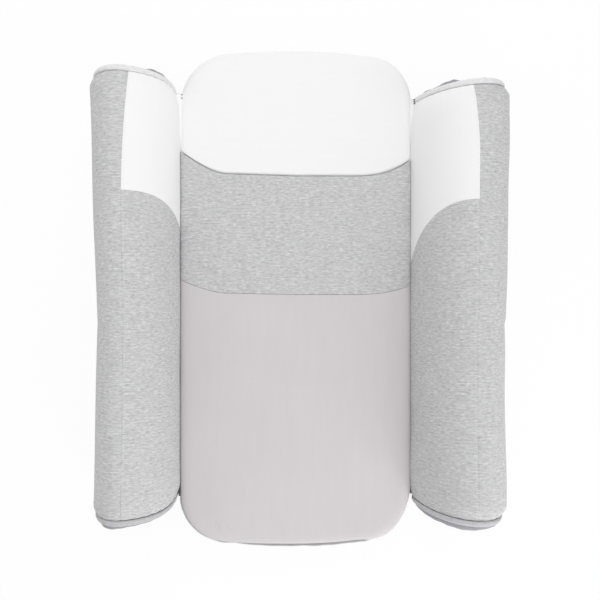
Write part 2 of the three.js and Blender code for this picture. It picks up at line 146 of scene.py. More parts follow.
def smoothstep(x, low, high):
    """Rises softly from 0 at low to 1 at high."""
    x = np.clip((x - low) / (high - low), 0, 1)
    return x * x * (3 - 2 * x)


def fading(distance, reach, power=2):
    """1 at no distance, 0 at the reach and beyond."""
    return np.clip(1 - np.abs(distance) / reach, 0, 1) ** power


def turned_down(distance, edge):
    """How deep a cloth turns down at a distance from a seam, by the (reach, depth) of its edge."""
    return edge[1] * fading(distance, edge[0])


def positions(start, end, step, start_edge=(), end_edge=()):
    """Places from start to end, about a step apart, and closer at the given distances from the ends."""
    inner_start, inner_end = start + max(start_edge, default=0), end - max(end_edge, default=0)
    count = max(2, round((inner_end - inner_start) / step) + 1)
    close = [start + d for d in start_edge[:-1]], [end - d for d in reversed(end_edge[:-1])]
    return np.array([*close[0], *np.linspace(inner_start, inner_end, count), *close[1]])


def unit(vectors):
    """The vectors, made 1 long."""
    return vectors / np.linalg.norm(vectors, axis=-1)[..., None]


def unevenness(points, size, seed):
    """A smooth random field, mostly from -1 to 1, with features of about the given size."""
    waves = 14
    rng = np.random.default_rng(seed)
    directions = unit(rng.normal(size=(waves, 3)))
    numbers = tau / (size * rng.uniform(1.4, 2.6, waves))
    phases = rng.uniform(0, tau, waves)
    return np.sin(points @ (directions * numbers[:, None]).T + phases).sum(-1) / np.sqrt(waves)


def distances_along(line):
    """The distance along a line of points at each of them."""
    return np.concatenate([[0], np.cumsum(np.linalg.norm(np.diff(line, axis=0), axis=1))])


def stack(x, y, z):
    """Points from their x, y and z: numbers or arrays that fit together."""
    return np.stack(np.broadcast_arrays(x, y, z), axis=-1).astype(float)


# ---- Making meshes ----


def add_object(name, data):
    """An object in the scene, made from a mesh, a light or a camera."""
    made = bpy.data.objects.new(name, data)
    bpy.context.scene.collection.objects.link(made)
    return made


def add_mesh(name, points, faces, cloth):
    """A smooth mesh of the given points in millimetres. Cloth holds their places on the flat cloth."""
    mesh = bpy.data.meshes.new(name)
    mesh.from_pydata((points * MM).tolist(), [], faces)
    flat = mesh.attributes.new("cloth", "FLOAT_VECTOR", "POINT")
    flat.data.foreach_set("vector", (cloth * MM).astype(np.float32).ravel())
    mesh.polygons.foreach_set("use_smooth", [True] * len(mesh.polygons))
    return add_object(name, mesh)


def grid_faces(rows, columns, flip=False, first=0, round_rows=False, round_columns=False):
    """Quads between the rows and columns of a grid of points, which may close into a ring."""
    i, j = np.indices((rows - (not round_rows), columns - (not round_columns))).reshape(2, -1)
    here, below, beside = i * columns, (i + 1) % rows * columns, (j + 1) % columns
    quads = np.stack([here + j, here + beside, below + beside, below + j], 1)
    return ((quads[:, ::-1] if flip else quads) + first).tolist()


def fan_faces(first, count, pole, flip=False):
    """Triangles between a ring of points, numbered from the first, and a point in its middle."""
    ring = first + np.arange(count)
    fan = np.stack([ring, np.roll(ring, -1), np.full(count, pole)], 1)
    return (fan[:, ::-1] if flip else fan).tolist()


def band_faces(lower, upper):
    """Quads between two loops of points that run the same way round."""
    return np.stack([lower, np.roll(lower, -1), np.roll(upper, -1), upper], 1).tolist()


def add_grid(name, grid, cloth, flip=False, **how):
    """A sheet from a grid of points, rows by columns."""
    faces = grid_faces(*grid.shape[:2], flip, **how)
    return add_mesh(name, grid.reshape(-1, 3), faces, cloth.reshape(-1, 3))


def finish_piece(piece, fabric, *nodes):
    """Gives a piece its cloth, ties it to the nest and hides the nodes it stands for."""
    piece.data.materials.append(fabric.material)
    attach(piece, "root")
    if nodes:
        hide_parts(*nodes)


# ---- Mat ----


def mat_corner(x, y, inset):
    """The width and the length of the corner, a quarter ellipse, that is nearest to a place."""
    sizes = CORNERS[np.where(y < 0, 0, 1), np.where(x < 0, 0, 1)]
    return np.moveaxis(sizes, -1, 0) - inset


def mat_half_width(share, y, inset=0):
    """How far the mat reaches from its middle, to the side of the share's sign."""
    wide, long = mat_corner(share, y, inset)
    into = np.maximum(0, np.abs(y) - (HALF_LENGTH - inset - long))
    return MAT_WIDTH / 2 - inset - wide + wide * np.sqrt(np.maximum(0, 1 - (into / long) ** 2))


def mat_rim(share, y):
    """Points on the outline of the mat, laid on the floor."""
    return stack(MAT_X + share * mat_half_width(share, y), y + mat_bend(share, y), 0)


def mat_edge_distance(x, y, inset=0):
    """Distance in from the outline of the mat, drawn in by inset."""
    wide, long = mat_corner(x, y, inset)
    over_x = np.abs(x) - (MAT_WIDTH / 2 - inset - wide)
    over_y = np.abs(y) - (HALF_LENGTH - inset - long)
    share = np.maximum(np.hypot(over_x / wide, over_y / long), 1e-6)
    in_corner = (over_x > 0) & (over_y > 0)
    corner = np.hypot(over_x, over_y) * (1 / share - 1)
    return np.maximum(0, np.where(in_corner, corner, np.minimum(wide - over_x, long - over_y)))


def mat_bend(share, y):
    """How far a line across the mat bends to the head end."""
    left = share < 0
    bend = np.where(left, np.interp(y, LINE_Y, BEND_LEFT), np.interp(y, LINE_Y, BEND_RIGHT))
    seam_like = 1 - smoothstep(np.abs(y), HEAD_SEAM, HALF_LENGTH)
    slope, straight = (seam_like * np.where(left, *sides) for sides in (SLOPES, STRAIGHTS))
    power = 2 + seam_like * (np.where(left, *CURVES) - 2)
    curve = (np.maximum(0, np.abs(share) - straight) / (1 - straight)) ** power
    return bend * (slope * np.abs(share) + (1 - slope) * curve)


MAT_LUMPS = dict(height=0.55, size=75, seed=4)


def mat_top(share, y, inset=0):
    """Points on the top of the mat, at a share of its half width and at a line across it."""
    row = y * (HALF_LENGTH - inset) / HALF_LENGTH
    x = share * mat_half_width(share, row, inset)
    rise = quarter_round(mat_edge_distance(x, row, inset), SHOULDER - inset, EDGE_FULLNESS)
    crown = MAT_CROWN * (1 - share**2) * (1 - (y / HALF_LENGTH) ** 2)
    up = RIM + rise * (MAT_THICKNESS - inset - RIM + crown)
    points = stack(MAT_X + x, row + mat_bend(share, y), up)
    lumps = unevenness(points * (1, 1, 0), MAT_LUMPS["size"], MAT_LUMPS["seed"])
    points[..., 2] += MAT_LUMPS["height"] * rise * lumps
    return points


# How far the cloth on top stops short of the rim at the foot end, by the share of the half width.
LEDGE_SHARES = (-1, -0.9, -0.6, 0, 0.58, 0.8, 0.92, 1)
LEDGE_WIDTHS = (3.7, 4.3, 4.3, 5.2, 5.2, 5.4, 4.2, 1.5)
# It starts at one distance to the foot and is full at another. The second numbers are for the right
# corner and for both corners.
LEDGE_START, LEDGE_FULL = (230, 326), (295, 336)
LEDGE_CORNER = 0.7  # the share of the half width where the corners start


def ledge(share, y):
    """How far the cloth on top stops short of the rim."""
    start = np.interp(share, (LEDGE_CORNER, 1), LEDGE_START)
    full = np.interp(np.abs(share), (LEDGE_CORNER, 1), LEDGE_FULL)
    return np.interp(share, LEDGE_SHARES, LEDGE_WIDTHS) * smoothstep(-y, start, full)


def mat_under(share, y, inset=0):
    """Points on the underside of the mat."""
    row = y * (HALF_LENGTH - inset) / HALF_LENGTH
    x = share * mat_half_width(share, row, inset)
    up = RIM * (1 - quarter_round(mat_edge_distance(x, row, inset), UNDER_SHOULDER))
    return stack(MAT_X + x, row + mat_bend(share, y), up)


ROUNDED_STEPS = SHOULDER * (1 - np.cos(np.linspace(0, np.pi / 2, 12)))  # even steps round the shoulder


def mat_shares(step):
    """Columns across the mat, as shares of its half width, close together on the rounded sides."""
    half = MAT_WIDTH / 2
    return positions(-half, half, step, ROUNDED_STEPS, ROUNDED_STEPS) / half


# The edges that turn down into the seams across the mat, by panel and end, as (reach, depth).
SEAM_EDGES = {
    ("foot", "head"): (1.4, 0.35),
    ("middle", "foot"): (1.4, 0.35),
    ("middle", "head"): (1.2, 0.6),
    ("head", "foot"): (4.5, 5.0),
}
SEAM_STEPS = (0, 0.35, 0.8, 1.4, 2.2, 3.2, 4.4, 6)
SEAM_GAP = 0.25  # between a seam and the edges of its cloths
TUCK = 2.4  # how far the edge goes down inside the seam
RIM_REACH = 6  # the seams across the mat get shallower over this distance from its rim

# Short slanting wrinkles near the left corner of the foot end, as (x, y, height), all alike in size.
FOOT_WRINKLES = ((-100, -307, 1), (-93, -310, 0.8), (-86, -308, 1), (-78, -312, 0.6))
WRINKLE = dict(length=8, width=2.2, height=1.3, slant=(0.5, 0.87))


def foot_wrinkles(points):
    """How much the wrinkles raise the cloth."""
    x, y = points[..., 0] - MAT_X, points[..., 1]
    cos, sin = WRINKLE["slant"]
    raised = np.zeros(x.shape)
    for at_x, at_y, height in FOOT_WRINKLES:
        along = (x - at_x) * cos - (y - at_y) * sin
        across = (x - at_x) * sin + (y - at_y) * cos
        raised += height * np.exp(-((along / WRINKLE["length"]) ** 2) - (across / WRINKLE["width"]) ** 2)
    return WRINKLE["height"] * raised


def mat_panel(name, start, end, fabric):
    """A cloth on top of the mat, from one line across it to another."""
    first, last = SEAM_EDGES.get((name, "foot")), SEAM_EDGES.get((name, "head"))
    gaps = [SEAM_GAP if edge else 0 for edge in (first, last)]
    steps = [SEAM_STEPS if edge else ROUNDED_STEPS for edge in (first, last)]
    rows = positions(start + gaps[0], end - gaps[1], CLOTH_STEP, *steps)
    shares = mat_shares(CLOTH_STEP)
    short = ledge(shares, rows[:, None])
    grid = mat_top(shares, rows[:, None], short)
    grid[..., 2] += short
    for edge, seam in ((first, start), (last, end)):
        if edge:
            inner = quarter_round(mat_edge_distance(grid[..., 0] - MAT_X, rows[:, None]), RIM_REACH)
            grid[..., 2] -= turned_down(rows - seam, edge)[:, None] * inner
    grid[..., 2] += foot_wrinkles(grid)
    # The edge of the cloth is turned in: down into a seam, and inwards and down at the rim, where it
    # goes further down the more it stops short.
    turned_in, down = (np.pad(value, 1, mode="edge") for value in (1.8 - 0.17 * short, 0.4 + 0.75 * short))
    grid = np.pad(grid, ((1, 1), (1, 1), (0, 0)), mode="edge")
    cloth = grid * (1, 1, 0)
    for side, inwards in ((0, 1), (-1, -1)):
        grid[:, side] += stack(inwards * turned_in[:, side], 0, -down[:, side])
    for row, edge, inwards in ((0, first, 1), (-1, last, -1)):
        tuck = (0, -SEAM_GAP * inwards, -TUCK) if edge else stack(0, inwards * turned_in[row], -down[row])
        grid[row] += tuck
    piece = add_grid(f"mat_{name}_cloth", grid, cloth)
    finish_piece(piece, fabric, f"mat_{name}_panel")


def mat_casing(fabric):
    """The underside and the filling of the mat, closed on top under the sewn-on cloth."""
    shares = mat_shares(CASING_STEP)
    rows = positions(-HALF_LENGTH, HALF_LENGTH, CASING_STEP, ROUNDED_STEPS, ROUNDED_STEPS)
    inset = CASING_DEPTH + 0.6 * ledge(shares, rows[:, None])
    top = mat_top(shares, rows[:, None], inset)
    top[..., 2] = np.maximum(RIM - 0.6, top[..., 2])
    under = mat_under(shares, rows[:, None])
    rim = mat_under(shares, rows[:, None], inset=1.6)
    rim[..., 2] = RIM - 0.4
    size = under.shape[:2]
    border = border_of(*size)
    points = np.concatenate([under.reshape(-1, 3), rim.reshape(-1, 3)[border], top.reshape(-1, 3)])
    first_rim = size[0] * size[1]
    first_top = first_rim + len(border)
    faces = grid_faces(*size, flip=True) + grid_faces(*size, first=first_top)
    loops = [border, first_rim + np.arange(len(border)), first_top + border]
    for lower, upper in zip(loops, loops[1:]):
        faces += band_faces(lower, upper)
    piece = add_mesh("mat_casing", points, faces, points * (1, 1, 0))
    finish_piece(piece, fabric, "mat")


def border_of(rows, columns):
    """The indices of a grid's outermost points, anticlockwise seen from above."""
    index = np.arange(rows * columns).reshape(rows, columns)
    return np.concatenate([index[0, :-1], index[:-1, -1], index[-1, :0:-1], index[:0:-1, 0]])


# ---- Rolls ----


def section_curves(roll):
    """The Bezier curves of a roll's section, each as four points (out, up)."""
    (wall_up, wall_lean), seam, outer = roll["wall"], np.array(roll["seam"]), np.array(roll["outer"])
    wall, base_start, base_end = (0, wall_up), *((out, 0) for out in roll["base"])
    inner_low, outer_low = 1 - FULLNESS["inner_foot"], 1 - FULLNESS["outer_foot"]
    side_up = wall_up + (seam[1] - wall_up) * FULLNESS["inner_side"]
    outer_high = outer[1] + (seam[1] - outer[1]) * FULLNESS["outer_side"]
    foot_out = base_end[0] + (outer[0] - base_end[0]) * FULLNESS["outer_foot"]
    handle = FULLNESS["seam"] * np.array((1, roll["slope"]))
    third = (base_start[0] - base_end[0]) / 3
    return np.array([
        [base_start, (base_start[0] * inner_low, 0), (0, wall_up * inner_low), wall],
        [wall, (wall_lean, side_up), seam - handle * seam[0], seam],
        [seam, seam + handle * (outer[0] - seam[0]), (outer[0], outer_high), outer],
        [outer, (outer[0], outer[1] * outer_low), (foot_out, 0), base_end],
        [base_end, (base_end[0] + third, 0), (base_end[0] + 2 * third, 0), base_start],
    ], dtype=float)


def section(roll, t):
    """Where the cloth lies at stations t, and the direction along it there."""
    k = np.clip(np.searchsorted(STARTS, t, side="right") - 1, 0, len(STARTS) - 1)
    u = ((t - STARTS[k]) / SPANS[k])[..., None]
    a, b, c, d = np.moveaxis(roll["curves"][k], -2, 0)
    v = 1 - u
    at = a * v**3 + 3 * b * u * v**2 + 3 * c * u**2 * v + d * u**3
    tangent = (b - a) * v**2 + 2 * (c - b) * u * v + (d - c) * u**2
    return at, unit(tangent)


def end_seam(roll, end):
    """The place along the nest of an end seam, where its binding starts."""
    return roll["ends"][end] - END_SIGNS[end] * BINDING


def into_roll(roll, y):
    """Distance from the nearer end seam."""
    return np.minimum(end_seam(roll, 1) - y, y - end_seam(roll, 0))


def roll_shift(roll, y, t, out, up):
    """How far a line across the roll shifts along it: the cross seam runs down to the foot end."""
    foot, head, cross = end_seam(roll, 0), end_seam(roll, 1), roll["cross"]
    share = np.clip((TOP_SEAM - t) / (TOP_SEAM - PANEL_START), 0, 1)
    near = np.where(y > cross["y"], (head - y) / (head - cross["y"]), (y - foot) / (cross["y"] - foot))
    lean, skew = (np.where(y > 0, roll[k][1] * y / head, roll[k][0] * y / foot) for k in ("lean", "skew"))
    inside = np.where(t <= TOP_SEAM, share ** cross["power"], 0)
    ends = lean * up / roll["seam"][1] + skew * (out / roll["outer"][0] - 0.5)
    low_share = np.clip((TOP_SEAM - t) / (TOP_SEAM - WALL), 0, 1) ** 7 + smoothstep(t, BASE, ROUND)
    to_head, to_foot = (np.clip(1 - d / PULL_REACH, 0, 1) ** 2 for d in (head - y, y - foot))
    ends = ends + low_share * (roll["pull"][0] * to_foot - roll["pull"][1] * to_head)
    return ends - cross["drop"] * np.maximum(0, near) * inside


def roll_surface(roll, arc, y, height=0, along=0):
    """Points on a roll's cloth, raised off it by height and moved along the nest by along."""
    arc, y = np.broadcast_arrays(np.asarray(arc, float), np.asarray(y, float))
    t = station_at(roll, arc)
    at, tangent = section(roll, t)
    near = np.clip(1 - (end_seam(roll, 1) - y) / roll["turn"]["length"], 0, 1)
    slide = roll["turn"]["inwards"] * near ** roll["turn"]["power"]
    slide = slide * np.maximum(0, 1 - np.abs(t - TOP_SEAM) / (TOP_SEAM - WALL))
    at = at - tangent * slide[..., None]
    facing = np.stack([-tangent[..., 1], tangent[..., 0]], -1)
    half = np.where(y > WAIST, 1, 0)
    end, growth, power = (np.array(roll[key])[half] for key in ("ends", "growth", "power"))
    growth = growth * np.maximum(0, (y - WAIST) / (end - WAIST)) ** power
    outer_share = np.interp(t, (TOP_SEAM + 1, OUTER - 2), (0, 1))
    drawn = DRAW_IN + outer_share * np.where(y > 0, roll["drawn"][1], roll["drawn"][0])
    reach = DRAW_IN_REACH + outer_share * (OUTER_REACH - DRAW_IN_REACH)
    depth = drawn * np.maximum(0, 1 - into_roll(roll, y) / reach) ** 2 - height
    out = at[..., 0] * (1 + growth / roll["outer"][0]) - facing[..., 0] * depth
    out = out - SQUEEZE * fading(t - WALL, 2.5)
    up = at[..., 1] - facing[..., 1] * depth
    shift = roll_shift(roll, y, t, out, up)
    return stack(MAT_X + roll["side"] * (INNER_LINE + out), y + shift + along, up)


MOST_SLANT = 2.6


def seam_slant(roll, end, arcs):
    """How much longer the end seam runs at each place round it than if it didn't slant."""
    line = roll_surface(roll, arcs, end_seam(roll, end))
    step = np.roll(line, -1, axis=0) - np.roll(line, 1, axis=0)
    straight = np.maximum(1e-6, np.linalg.norm(step[:, ::2], axis=1))
    return np.minimum(MOST_SLANT, np.linalg.norm(step, axis=1) / straight)


# Lumps of the filling, which fade out towards the end seams, and gathers, which fade out from them on.
ROLL_LUMPS = dict(size=60, height=0.6, fade=20)
GATHERS = dict(pitch=13, height=0.35, fade=13)


def soft_height(roll, arc, y):
    """Unevenness of the filling, and the gathers where the end seams hold the cloth."""
    arc, y = np.broadcast_arrays(arc, y)
    t = station_at(roll, arc)
    free = smoothstep(t, PANEL_START, WALL) * (1 - smoothstep(t, OUTER + 1, BASE))  # not on the floor
    inwards = into_roll(roll, y)
    lumps = unevenness(np.stack([arc * 1.3, y, 0 * y], -1), ROLL_LUMPS["size"], roll["seed"])
    lumps = lumps * smoothstep(inwards, 0, ROLL_LUMPS["fade"])
    gathers = np.sin(arc / GATHERS["pitch"] * tau + 3 * np.sin(arc / 47))
    gathers = gathers * np.exp(-np.maximum(0, inwards) / GATHERS["fade"])
    return free * (ROLL_LUMPS["height"] * lumps + GATHERS["height"] * gathers)


def waves_round(roll, arcs, count, height):
    """Uneven waves, so many of them round the section of a roll."""
    turn = arcs / roll["girth"] * tau
    return height * np.sin(count * turn + 2 * np.sin(2 * turn))


def measure_section(roll):
    """Works out a roll's curves, and how far round the section each station lies."""
    roll["curves"] = section_curves(roll)
    roll["stations"] = np.linspace(0, ROUND, 50 * ROUND + 1)
    outline = section(roll, roll["stations"])[0]
    roll["arcs"] = distances_along(outline)
    roll["girth"] = roll["arcs"][-1]


def station_at(roll, arc):
    """The station at a distance round the section."""
    return np.interp(arc % roll["girth"], roll["arcs"], roll["stations"])


def arc_at(roll, t):
    """The distance round the section at a station."""
    return float(np.interp(t, roll["stations"], roll["arcs"]))


END_STEPS = (0, 0.5, 1.1, 1.9, 3, 4.5, 6.5)
# The edges of a roll's cloths, which turn down into its seams, as (reach, depth).
TOP_SEAM_EDGE = (1.6, 0.12)
END_EDGE = (2.0, 1.0)
CROSS_EDGE = (1.4, 0.25)
CROSS_GAP = 0.06  # between the cross seam and a cloth's edge

# The folds of the end cloths that stand out past the bindings, by roll and end: each at a share of
# the way round from the top seam to the widest place (below 0 it is on the inner side), with its
# width as such a share and its size.
END_FOLDS = {
    ("left", 0): ((0.5, 0.42, 12.6),),
    ("left", 1): ((-0.52, 0.14, 9), (-0.74, 0.14, 9)),
    ("right", 0): ((-0.8, 0.25, 5), (-0.35, 0.25, 3), (0.3, 0.2, -2)),
    ("right", 1): ((-0.8, 0.06, 6), (-0.45, 0.1, 7), (-0.31, 0.07, 11)),
}
END_LUMPS = dict(size=34, height=1.1, seed=60)


def roll_casing(side, roll, fabric):
    """The outer side and the underside of a roll, closed under the cloth on its inner side."""
    top, start = arc_at(roll, TOP_SEAM), arc_at(roll, PANEL_START)
    outer = positions(top, roll["girth"], CLOTH_STEP, SEAM_STEPS)[:-1]
    low = positions(0, start, step=4)
    hidden = positions(start, top, step=8)
    arcs = np.concatenate([outer, low, hidden])
    sunk = turned_down(arcs - top, TOP_SEAM_EDGE)
    sunk[-len(hidden):] = CASING_DEPTH
    rows = positions(end_seam(roll, 0), end_seam(roll, 1), CLOTH_STEP, END_STEPS, END_STEPS)
    height = soft_height(roll, arcs, rows[:, None]) - sunk
    height -= turned_down(into_roll(roll, rows), END_EDGE)[:, None]
    grid = roll_surface(roll, arcs, rows[:, None], height)
    # The casing ends inside the bindings.
    foot_end, head_end = (
        roll_surface(roll, arcs[None, :], end_seam(roll, end), height=-3, along=5 * END_SIGNS[end])
        for end in (0, 1)
    )
    grid = np.concatenate([foot_end, grid, head_end])
    rows_made, columns = grid.shape[:2]
    faces = grid_faces(rows_made, columns, flip=roll["side"] > 0, round_columns=True)
    count = rows_made * columns
    faces += fan_faces(0, columns, count, flip=roll["side"] < 0)
    faces += fan_faces(count - columns, columns, count + 1, flip=roll["side"] > 0)
    points = np.concatenate([grid.reshape(-1, 3), [grid[0].mean(0), grid[-1].mean(0)]])
    cloth = stack(arcs, np.pad(rows, 1, mode="edge")[:, None], 0).reshape(-1, 3)
    cloth = np.concatenate([cloth, np.zeros((2, 3))])
    piece = add_mesh(f"{side}_roll_casing", points, faces, cloth)
    finish_piece(piece, fabric, f"{side}_roll")


def roll_cloth(side, roll, part, fabric):
    """A piece of cloth on the inner side of a roll, from its foot to the seam along the top."""
    cross = roll["cross"]["y"]
    if part == "foot":
        start, end = end_seam(roll, 0), cross - CROSS_GAP
        edges = ((start, END_EDGE), (end, CROSS_EDGE))
    else:
        start, end = cross + CROSS_GAP, end_seam(roll, 1)
        edges = ((start, CROSS_EDGE),)
    low, top = arc_at(roll, PANEL_START), arc_at(roll, TOP_SEAM)
    arcs = positions(low, top - 0.08, CLOTH_STEP, (), SEAM_STEPS)
    rows = positions(start, end, CLOTH_STEP, END_STEPS, END_STEPS)
    height = soft_height(roll, arcs, rows[:, None])
    height -= turned_down(top - arcs, TOP_SEAM_EDGE)
    for seam, edge in edges:
        height -= turned_down(rows - seam, edge)[:, None]
    # The edges of the cloth are turned into the seams.
    arcs = np.append(arcs, top - 0.04)
    rows = np.pad(rows, 1, mode="edge")
    height = np.pad(height, ((1, 1), (0, 1)), mode="edge")
    height[[0, -1], :] -= EDGE_DEPTH
    height[:, -1] -= EDGE_DEPTH
    grid = roll_surface(roll, arcs, rows[:, None], height)
    cloth = stack(arcs, grid[..., 1], 0)
    piece = add_grid(f"{side}_roll_{part}_cloth", grid, cloth, flip=roll["side"] < 0)
    # The cross seam slants, so one cloth is longer on the inner side, and the other is shorter there.
    finish_piece(piece, fabric, f"{side}_roll_{part}_panel")


# The section of a binding, as (distance out from the end seam, height over the cloth), clockwise.
BINDING_SECTION = (
    (0.9, -2.6), (0.5, -0.8), (0.7, 0.5), (1.4, 1.2), (2.6, 1.5), (4.0, 1.3), (5.4, 0.7), (6.6, -0.2),
    (7.5, -1.3), (8.0, -2.5), (7.9, -3.5), (7.0, -3.9), (5.0, -3.3), (3.0, -3.0),
)


def binding_height(roll, end, arcs):
    """The share of its height that the binding has: it lies flatter beside the mesh."""
    t = station_at(roll, arcs)
    on_mesh = smoothstep(t, PANEL_START, WALL) * (1 - smoothstep(t, TOP_SEAM - 0.5, TOP_SEAM + 0.5))
    return 1 - 0.6 * end * on_mesh


def roll_binding(side, roll, end, fabric):
    """A binding: a folded tape round the end of a roll."""
    out, seam = END_SIGNS[end], end_seam(roll, end)
    arcs = positions(0, roll["girth"], 2)[:-1]
    waves = waves_round(roll, arcs, count=30, height=0.25)
    raised = binding_height(roll, end, arcs)
    slant = seam_slant(roll, end, arcs)
    rings = [
        roll_surface(
            roll, arcs, seam, height * raised + waves if height > 0 else height, along=out * along * slant
        )
        for along, height in BINDING_SECTION
    ]
    across = distances_along(BINDING_SECTION)
    cloth = stack(arcs, across[:, None], 0)
    name = f"{side}_{END_NAMES[end]}_binding"
    piece = add_grid(
        f"{name}_tape", np.array(rings), cloth, flip=roll["side"] * out > 0, round_rows=True,
        round_columns=True,
    )
    finish_piece(piece, fabric, name)


def roll_end_cloth(side, roll, end, fabric):
    """The domed cloth that closes the end of a roll."""
    out = END_SIGNS[end]
    arcs = positions(0, roll["girth"], 3)[:-1]
    # It starts inside the binding.
    along = out * (BINDING - 1.6) * seam_slant(roll, end, arcs)
    outline = roll_surface(roll, arcs, end_seam(roll, end), height=-2.4, along=along)
    middle = (outline.min(0) + outline.max(0)) / 2
    shares = np.sin(np.linspace(np.pi / 2, 0, 18))[:-1]
    rings = middle + (outline - middle) * shares[:, None, None]
    bulge = roll["bulge"][end] * (1 - shares**2) ** roll["dome"][end]
    folds = waves_round(roll, arcs, count=19, height=0.8)
    around = (station_at(roll, arcs) - TOP_SEAM) / (OUTER - TOP_SEAM)
    for at, wide, size in END_FOLDS[side, end]:
        folds = folds + size * np.exp(-(((around - at) / wide) ** 2))
    folds = folds * shares[:, None] ** 6 * (1 - shares[:, None] ** 8)
    lumps = unevenness(rings, END_LUMPS["size"], END_LUMPS["seed"] + end + roll["seed"])
    lumps = END_LUMPS["height"] * lumps * (1 - shares[:, None] ** 4)
    rings[..., 1] += out * (bulge[:, None] + folds + lumps)
    top = middle + (0, out * (roll["bulge"][end] + 0.5), 0)
    points = np.concatenate([rings.reshape(-1, 3), [top]])
    rows, columns = rings.shape[:2]
    flip = roll["side"] * out > 0
    faces = grid_faces(rows, columns, flip, round_columns=True)
    faces += fan_faces((rows - 1) * columns, columns, rows * columns, flip)
    name = f"{side}_{END_NAMES[end]}"
    piece = add_mesh(f"{name}_end_cloth", points, faces, stack(points[:, 0], points[:, 2], 0))
    wide, _, high = outline.max(0) - outline.min(0)
    finish_piece(piece, fabric, f"{name}_cap")


# ---- Joining tapes ----

TAPE_SAG = 0.5
TAPE_WAVE = dict(pitch=38, height=0.3)


def joining_tape(side, fabric):
    """The tape low in the gap between the mat and a roll."""
    low, high = corners_of(f"{side}_strip")
    share, y = np.linspace(0, 1, 9), positions(low[1], high[1], 6)
    lift = TAPE_WAVE["height"] * np.sin(y / TAPE_WAVE["pitch"] * tau) - TAPE_SAG
    lift = lift[:, None] * np.sin(share * np.pi)
    top, under = (stack(low[0] + (high[0] - low[0]) * share, y[:, None], z + lift) for z in (high[2], low[2]))
    points = np.concatenate([top, under]).reshape(-1, 3)
    rows, columns = lift.shape
    border, count = border_of(rows, columns), rows * columns
    faces = grid_faces(rows, columns) + grid_faces(rows, columns, flip=True, first=count)
    faces += band_faces(border + count, border)
    piece = add_mesh(f"{side}_joining_tape", points, faces, points * (1, 1, 0))
    finish_piece(piece, fabric, f"{side}_strip")


def crease(roll, y):
    """The sides of the mat and of the roll at a place along the nest."""
    rim = mat_rim(roll["side"], np.linspace(-HALF_LENGTH, HALF_LENGTH, 400))
    stations = np.linspace(end_seam(roll, 0), end_seam(roll, 1), 400)
    wall = roll_surface(roll, arc_at(roll, WALL), stations)
    return (np.interp(y, line[:, 1], line[:, 0]) for line in (rim, wall))


WEB_OVERLAP = 5  # how far the web reaches in under the cloth of the mat and of the roll
WEB_UP = dict(mat=34.5, roll=37)  # how high its edges lie
WEB_SAG = 1.6


def head_web(side, roll, fabric):
    """The mesh band that spans the crease between the mat and a roll at the head end."""
    sign, web = roll["side"], roll["web"]
    y = positions(WEB_START, web["end"], 2.5)
    mat_x, roll_x = crease(roll, y)
    open_share = smoothstep(y, HEAD_SEAM + 15, HEAD_SEAM + 75)
    over_mat, over_roll = web["over_mat"] * open_share, web["over_roll"] * open_share
    share = np.linspace(0, 1, 17)
    inner, outer = mat_x - (over_mat + WEB_OVERLAP) * sign, roll_x + (over_roll + WEB_OVERLAP) * sign
    x = inner[:, None] + (outer - inner)[:, None] * share
    low, high = WEB_UP["mat"] + 0.5 * over_mat, WEB_UP["roll"] + 5 * over_roll
    z = low[:, None] + (high - low)[:, None] * share - WEB_SAG * np.sin(share * np.pi)
    grid = stack(x, y[:, None], z)
    grid = np.concatenate([grid, grid[-1:] - (0, 1, 5)])
    piece = add_grid(f"{side}_head_web", grid, grid * (1, 1, 0), flip=sign < 0)
    wide = np.linalg.norm(np.diff(grid, axis=1), axis=-1).sum(1).mean()
    finish_piece(piece, fabric)


# ---- Stitches ----

UPWARDS = (0, 0, 1)
TACK_STEP = 1.3
TACKS_UP = dict(head=38, foot=30)  # their heights at the two ends
EDGE_UP = 23  # height of the overlocked edge
EDGE_INSET = 2.6  # from the tips of its stitches in to their middles
EDGE_THREADS = dict(length=5.5, thick=1.9)


def add_stitches(name, places, along, upwards, fabric, length=2.6, thick=0.55):
    """Small beads of thread at the given places, each lying along its direction."""
    sides, rings = 6, np.array((0.35, 0.8, 1, 0.8, 0.35))
    steps = np.linspace(-0.44, 0.44, len(rings)) * length
    angles = np.arange(sides) / sides * tau
    along = unit(along)
    across = unit(np.cross(along, upwards))
    over = np.cross(across, along)
    ring = np.cos(angles)[:, None, None] * across + np.sin(angles)[:, None, None] * over
    beads = [places + along * step + 0.5 * thick * size * ring for step, size in zip(steps, rings)]
    beads = np.array(beads).transpose(2, 0, 1, 3).reshape(-1, 3)
    each = len(rings) * sides
    one = grid_faces(len(rings), sides, flip=True, round_columns=True)
    one += [list(range(sides)), list(range(each - 1, each - sides - 1, -1))]
    faces = [[i + k * each for i in face] for k in range(len(places)) for face in one]
    finish_piece(add_mesh(name, beads, faces, beads), fabric)


def frame_of(surface, at, step=0.5):
    """Places on a surface with the direction of the line there and the direction out of the cloth."""
    here = surface(at, 0)
    ahead, beside = surface(at + step, 0) - here, surface(at, step) - here
    return here, ahead, np.cross(ahead, beside)


def binding_stitches(side, roll, end, fabric):
    """The stitches along a binding."""
    out = END_SIGNS[end]
    at = positions(0, roll["girth"], 3.6)[:-1]

    def surface(arc, across):
        raised = 1.35 * binding_height(roll, end, arc)
        return roll_surface(roll, arc, end_seam(roll, end), raised - 0.1 * across, along=out * (2.3 + across))

    places, ahead, upwards = frame_of(surface, at)
    upwards = upwards * -out * roll["side"]
    add_stitches(f"{side}_{END_NAMES[end]}_binding_stitches", places, ahead, upwards, fabric)


